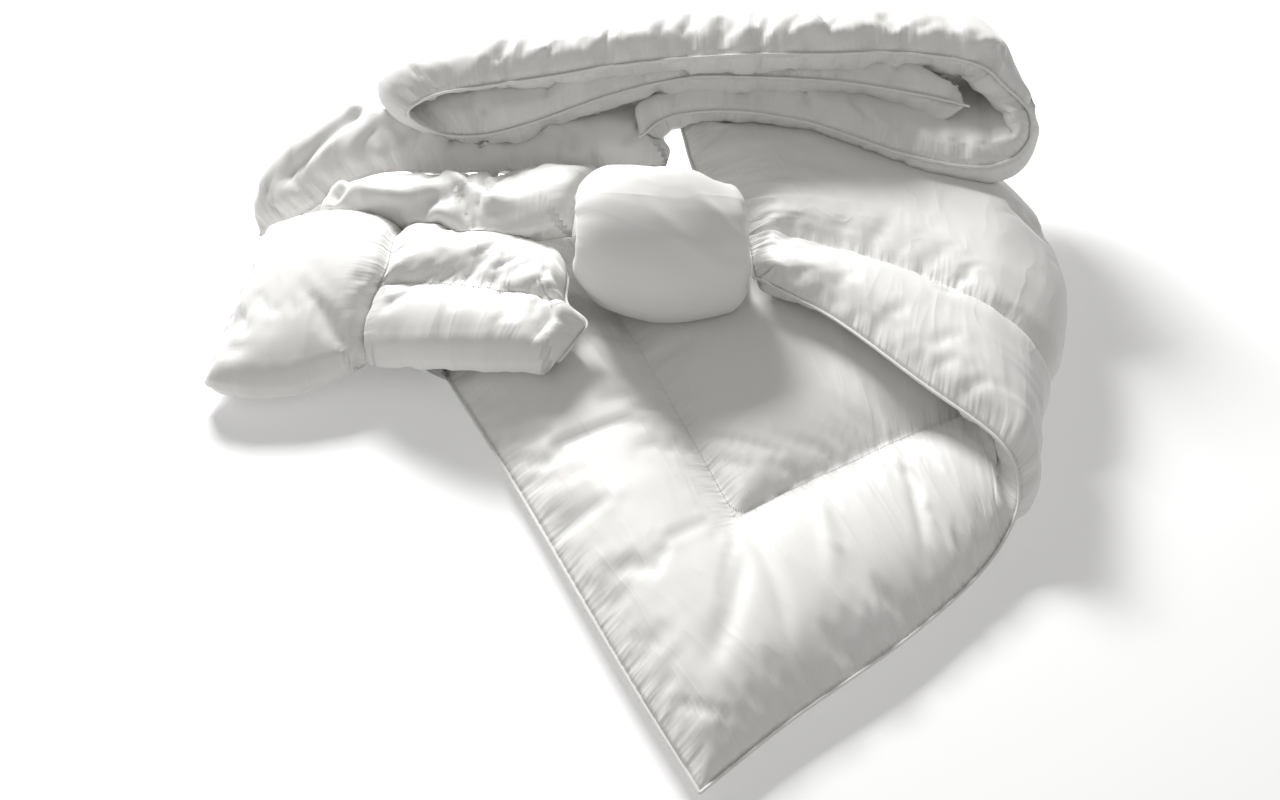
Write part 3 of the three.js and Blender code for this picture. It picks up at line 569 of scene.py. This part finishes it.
def place_on(sheet, side, u, v):
    """Places and normals of a fold's cloth at cloth coordinates, blended between the nearest grid points."""
    grid = sheet["top"] if side > 0 else sheet["bottom"]
    normal = normals_of(grid) * side
    x = np.interp(u, sheet["u"], np.arange(len(sheet["u"])))
    y = np.interp(v, sheet["v"], np.arange(len(sheet["v"])))
    i, j = np.minimum(x.astype(int), len(sheet["u"]) - 2), np.minimum(y.astype(int), len(sheet["v"]) - 2)
    s, t = (x - i)[:, None], (y - j)[:, None]
    blend = lambda g: ((g[j, i] * (1 - s) + g[j, i + 1] * s) * (1 - t)
                       + (g[j + 1, i] * (1 - s) + g[j + 1, i + 1] * s) * t)
    return blend(grid), blend(normal)


def add_stitches(name, sheet, side, route):
    """A row of separate quilting stitches along a route of cloth coordinates, each a short fat thread with its
    ends drawn into the cloth."""
    route = np.array(route, float)
    run = np.concatenate([[0], np.cumsum(np.linalg.norm(np.diff(route, axis=0), axis=1))])
    at = np.arange(STITCH, run[-1] - STITCH, STITCH)
    u, v = np.interp(at, run, route[:, 0]), np.interp(at, run, route[:, 1])
    ahead_u, ahead_v = np.interp(at + .001, run, route[:, 0]), np.interp(at + .001, run, route[:, 1])
    place, normal = place_on(sheet, side, u, v)
    ahead, _ = place_on(sheet, side, ahead_u, ahead_v)
    way = ahead - place
    way /= np.linalg.norm(way, axis=1, keepdims=True)
    across = np.cross(normal, way)
    steps = np.array([-.36, -.22, 0, .22, .36]) * STITCH
    fat = np.array([.45, .95, 1.1, .95, .45]) * THREAD_RADIUS
    sunk = np.array([-.9, .1, .45, .1, -.9]) * THREAD_RADIUS
    turn = 2 * np.pi * np.arange(6) / 6
    ring = (place[:, None, None] + way[:, None, None] * steps[:, None, None]
            + normal[:, None, None] * (sunk[:, None] + fat[:, None] * np.sin(turn)[None])[..., None]
            + across[:, None, None] * (fat[:, None] * np.cos(turn)[None])[..., None])
    points = ring.reshape(-1, 3)
    index = np.arange(len(points)).reshape(len(place), 5, 6)
    after = np.roll(index, -1, axis=2)
    walls = np.stack([index[:, :-1], index[:, 1:], after[:, 1:], after[:, :-1]], -1).reshape(-1, 4).tolist()
    ends = index[:, 0].tolist() + index[:, -1, ::-1].tolist()
    faces = np.empty(len(walls) + len(ends), object)
    faces[:] = walls + ends
    return add_piece(name.replace("thread", "stitches"), points, faces, THREAD, "thread", name)


# ---- materials -----------------------------------------------------------------------------------
def group_of(name, inputs, output):
    """A shader node group with its inputs and one output, and the nodes that give and take them."""
    group = bpy.data.node_groups.new(name, "ShaderNodeTree")
    for label, kind, value in inputs:
        socket = group.interface.new_socket(label, in_out="INPUT", socket_type=kind)
        if value is not None:
            socket.default_value = value
    group.interface.new_socket(output[0], in_out="OUTPUT", socket_type=output[1])
    return group, group.nodes.new("NodeGroupInput"), group.nodes.new("NodeGroupOutput")


def node(tree, kind, links=(), **values):
    """A shader node with its properties set and its inputs linked or filled."""
    made = tree.nodes.new(kind)
    for key, value in values.items():
        setattr(made, key, value)
    for socket, source in dict(links).items():
        if isinstance(source, bpy.types.NodeSocket):
            tree.links.new(source, made.inputs[socket])
        else:
            made.inputs[socket].default_value = source
    return made


def math_node(tree, what, a, b=0.0, c=0.0):
    """The output of a math node."""
    return node(tree, "ShaderNodeMath", {0: a, 1: b, 2: c}, operation=what).outputs[0]


def weave_group():
    """Plain weave: two crossed waves over the cloth coordinates, as a height from 0 to 1."""
    group, given, out = group_of("plain_weave", [("Place", "NodeSocketVector", None),
                                                 ("Threads per metre", "NodeSocketFloat", 2600.0)],
                                 ("Height", "NodeSocketFloat"))
    parts = node(group, "ShaderNodeSeparateXYZ", {0: given.outputs["Place"]}).outputs
    waves = [math_node(group, "SINE", math_node(group, "MULTIPLY", part, math_node(
        group, "MULTIPLY", given.outputs["Threads per metre"], math.pi))) for part in (parts[0], parts[1])]
    crossed = math_node(group, "MULTIPLY", waves[0], waves[1])
    group.links.new(math_node(group, "MULTIPLY_ADD", crossed, .5, .5), out.inputs[0])
    return group


def gathers_group():
    """Fine gathers beside a seam: noise stretched away from the seam, fading with the distance from it."""
    group, given, out = group_of("seam_gathers", [("Seam distance", "NodeSocketFloat", 1.0),
                                                  ("Along seam", "NodeSocketFloat", 0.0),
                                                  ("Reach", "NodeSocketFloat", .02)],
                                 ("Height", "NodeSocketFloat"))
    stretched = node(group, "ShaderNodeCombineXYZ", {
        0: math_node(group, "MULTIPLY", given.outputs["Along seam"], 95.0),
        1: math_node(group, "MULTIPLY", given.outputs["Seam distance"], 12.0)}).outputs[0]
    waves = node(group, "ShaderNodeTexNoise", {"Vector": stretched, "Scale": 1.0, "Detail": 1.5},
                 noise_dimensions="2D").outputs[0]
    fade = math_node(group, "EXPONENT", math_node(group, "MULTIPLY", math_node(
        group, "DIVIDE", given.outputs["Seam distance"], given.outputs["Reach"]), -1.0))
    group.links.new(math_node(group, "MULTIPLY", waves, fade), out.inputs[0])
    return group


def creasing_group():
    """Light creases of washed cotton: stretched noise folded at its middle, two directions added."""
    group, given, out = group_of("light_creases", [("Place", "NodeSocketVector", None)],
                                 ("Height", "NodeSocketFloat"))
    heights = []
    for turn, scale in ((.5, 9.0), (-.9, 14.0)):
        turned = node(group, "ShaderNodeMapping", {"Vector": given.outputs["Place"], "Rotation": (0, 0, turn),
                                                   "Scale": (1.0, .28, 1.0)}).outputs[0]
        waves = node(group, "ShaderNodeTexNoise", {"Vector": turned, "Scale": scale, "Detail": 2.0,
                                                   "Distortion": .4}).outputs[0]
        folded = math_node(group, "ABSOLUTE", math_node(group, "SUBTRACT", waves, .5))
        heights.append(math_node(group, "POWER", math_node(group, "SUBTRACT", 1.0, folded), 6.0))
    group.links.new(math_node(group, "ADD", *heights), out.inputs[0])
    return group


def new_material(name):
    """A new material, its node tree and its Principled shader."""
    material = bpy.data.materials.new(name)
    material.use_nodes = True
    tree = material.node_tree
    return material, tree, tree.nodes["Principled BSDF"]


def shade(tree, shader, vector, base, spread, roughness):
    """Colour and roughness that vary a little in soft patches."""
    patches = node(tree, "ShaderNodeTexNoise", {"Vector": vector, "Scale": 5.0, "Detail": 3.0}).outputs[0]
    ramp = node(tree, "ShaderNodeValToRGB", {0: patches})
    ramp.color_ramp.elements[0].position, ramp.color_ramp.elements[1].position = .3, .7
    ramp.color_ramp.elements[0].color = (*[c - s for c, s in zip(base, spread)], 1)
    ramp.color_ramp.elements[1].color = (*base, 1)
    tree.links.new(ramp.outputs[0], shader.inputs["Base Color"])
    rough = node(tree, "ShaderNodeMapRange", {"Value": patches, "To Min": roughness - .05, "To Max": roughness + .06})
    tree.links.new(rough.outputs[0], shader.inputs["Roughness"])


def cotton():
    """Smooth white percale: fine weave, light creases and gathers beside the seams."""
    material, tree, shader = new_material("white_percale")
    flat = node(tree, "ShaderNodeUVMap", uv_map="cloth").outputs[0]
    seam = node(tree, "ShaderNodeAttribute", attribute_name="seam").outputs["Fac"]
    run = node(tree, "ShaderNodeAttribute", attribute_name="run").outputs["Fac"]
    shade(tree, shader, flat, COTTON_COLOUR, (.012, .012, .016), .52)
    groups = [node(tree, "ShaderNodeGroup", node_tree=made) for made in (WEAVE, GATHERS, CREASES)]
    tree.links.new(flat, groups[0].inputs["Place"])
    tree.links.new(seam, groups[1].inputs["Seam distance"])
    tree.links.new(run, groups[1].inputs["Along seam"])
    tree.links.new(flat, groups[2].inputs["Place"])
    normal = None
    for made, strength, distance in ((groups[2], .35, .004), (groups[1], .7, .006), (groups[0], .12, .0002)):
        links = {"Height": made.outputs[0], "Strength": strength, "Distance": distance}
        if normal is not None:
            links["Normal"] = normal
        normal = node(tree, "ShaderNodeBump", links).outputs[0]
    tree.links.new(normal, shader.inputs["Normal"])
    shader.inputs["Sheen Weight"].default_value = .25
    shader.inputs["Sheen Roughness"].default_value = .4
    shader.inputs["Specular IOR Level"].default_value = .35
    return material


def corded(name, base, roughness, per_metre):
    """Cotton over a cord or a twisted thread: slanting ribs over object coordinates."""
    material, tree, shader = new_material(name)
    place = node(tree, "ShaderNodeTexCoord").outputs["Object"]
    shade(tree, shader, place, base, (.02, .02, .025), roughness)
    ribs = node(tree, "ShaderNodeTexWave", {"Vector": place, "Scale": per_metre, "Distortion": 1.0, "Detail": 1.0},
                bands_direction="DIAGONAL").outputs[1]
    tree.links.new(node(tree, "ShaderNodeBump", {"Height": ribs, "Strength": .4, "Distance": .0004}).outputs[0],
                   shader.inputs["Normal"])
    shader.inputs["Sheen Weight"].default_value = .2
    return material


def wadding():
    """Soft polyester fibre: fine clumps."""
    material, tree, shader = new_material("fibre_wadding")
    place = node(tree, "ShaderNodeTexCoord").outputs["Object"]
    shade(tree, shader, place, (.9, .89, .87), (.05, .05, .05), .9)
    clumps = node(tree, "ShaderNodeTexNoise", {"Vector": place, "Scale": 90.0, "Detail": 6.0}).outputs[0]
    tree.links.new(node(tree, "ShaderNodeBump", {"Height": clumps, "Strength": .8, "Distance": .004}).outputs[0],
                   shader.inputs["Normal"])
    shader.inputs["Sheen Weight"].default_value = .5
    return material


COTTON_COLOUR = (.84, .832, .815)
WEAVE, GATHERS, CREASES = weave_group(), gathers_group(), creasing_group()
COTTON = cotton()
PIPING = corded("piping_cotton", (.86, .852, .835), .5, 420.0)
THREAD = corded("quilting_thread", (.74, .73, .71), .55, 900.0)
SATIN = corded("label_satin", (.9, .9, .9), .35, 1500.0)
WADDING = wadding()

# ---- camera, light and floor ---------------------------------------------------------------------
scene = bpy.context.scene
camera = bpy.data.objects.new("camera", bpy.data.cameras.new("camera"))
camera.data.lens, camera.data.sensor_width = 38, 36
camera.location = (-.008, -1.6055, 1.5636)
camera.rotation_euler = (math.radians(46), 0, 0)
scene.collection.objects.link(camera)
scene.camera = camera
scene.view_settings.view_transform = "Standard"

world = bpy.data.worlds.new("studio")
scene.world = world
world.use_nodes = True
world.node_tree.nodes["Background"].inputs[0].default_value = (1, .99, .975, 1)
world.node_tree.nodes["Background"].inputs[1].default_value = .36


def add_light(name, place, aim, size, watts):
    """A white rectangular area light that faces the point it is aimed at."""
    lamp = bpy.data.lights.new(name, "AREA")
    lamp.shape, lamp.size, lamp.size_y, lamp.energy = "RECTANGLE", *size, watts
    made = bpy.data.objects.new(name, lamp)
    made.location = place
    made.rotation_euler = (Vector(aim) - Vector(place)).to_track_quat("-Z", "Y").to_euler()
    scene.collection.objects.link(made)


add_light("key_light", (-1.1, 2.8, 2.15), (0, .1, 0), (1.3, .9), 190)
add_light("fill_light", (.4, -3.2, 3.2), (0, 0, .1), (3, 2), 5)

floor_mesh = plain_mesh("floor", np.array([(-9, -9, 0), (9, -9, 0), (9, 9, 0), (-9, 9, 0)], float),
                        np.array([(0, 1, 2, 3)]))
floor_material, _, floor_shader = new_material("pale_floor")
floor_shader.inputs["Base Color"].default_value = (.93, .93, .93, 1)
floor_shader.inputs["Roughness"].default_value = .9
floor_shader.inputs["Emission Color"].default_value = (1, 1, 1, 1)
floor_shader.inputs["Emission Strength"].default_value = .16
floor_mesh.materials.append(floor_material)
floor = bpy.data.objects.new("floor", floor_mesh)
scene.collection.objects.link(floor)

# ---- the duvet -----------------------------------------------------------------------------------
first = lay_out(FOLDS[0])
spread = np.concatenate([first["top"], first["bottom"]]).reshape(-1, 3)
frame_corners = np.array([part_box("front_fold_upper_cover"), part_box("front_fold_lower_cover")])
SHIFT = ((frame_corners[:, 0].min(0) + frame_corners[:, 1].max(0)) / 2 - (spread.min(0) + spread.max(0)) / 2)[:2]

laid = []
sheets = {}
for number, fold in enumerate(FOLDS):
    sheets[fold["name"]] = shape_fold(fold, 100 * (number + 1), laid)
for fold in FOLDS:
    sheet = sheets[fold["name"]]
    add_cover(fold, sheet, 1)
    add_cover(fold, sheet, -1)
    for name, (across, down) in fold["chambers"].items():
        add_fill(fold, sheet, name, across, down)
    for edge in fold["piping"]:
        add_piping(fold, sheet, edge)

sheet = sheets["front_fold"]
corner = [(BORDER + FRAME_CORNER * (1 - math.cos(a)), BORDER + FRAME_CORNER * (1 - math.sin(a)))
          for a in np.linspace(0, math.pi / 2, 9)]
add_stitches("front_fold_inner_frame_thread", sheet, 1,
             [(BORDER, sheet["v"][-1] - SEAM_CLEAR), *corner, (sheet["u"][-1] * .45, BORDER)])
add_stitches("front_fold_outer_frame_thread", sheet, -1,
             [(sheet["u"][-1] * .6, BORDER), (sheet["u"][-1] - SEAM_CLEAR, BORDER)])
sheet = sheets["left_fold"]
add_stitches("left_fold_cross_thread", sheet, 1, [(BORDER, SEAM_CLEAR), (BORDER, sheet["v"][-1] - SEAM_CLEAR)])
add_stitches("left_fold_long_thread", sheet, 1,
             [(BORDER + .008, LEFT_FRONT_QUILT), (sheet["u"][-1] - SEAM_CLEAR, LEFT_FRONT_QUILT)])

# The blank care label: a small satin strip that curls out of the back stack's far seam.
low, high = np.array(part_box("care_label"))
u, v = np.meshgrid(np.linspace(0, 1, 15), np.linspace(0, 1, 11))
strip = np.stack([low[0] + (high[0] - low[0]) * u, low[1] + (high[1] - low[1]) * v,
                  (low[2] + high[2]) / 2 - .004 * v ** 2 + .0015 * np.sin(6 * u)], -1)
add_piece("care_label_strip", *shell(strip + (0, 0, .0004), strip - (0, 0, .0004)), SATIN, "label", "care_label")
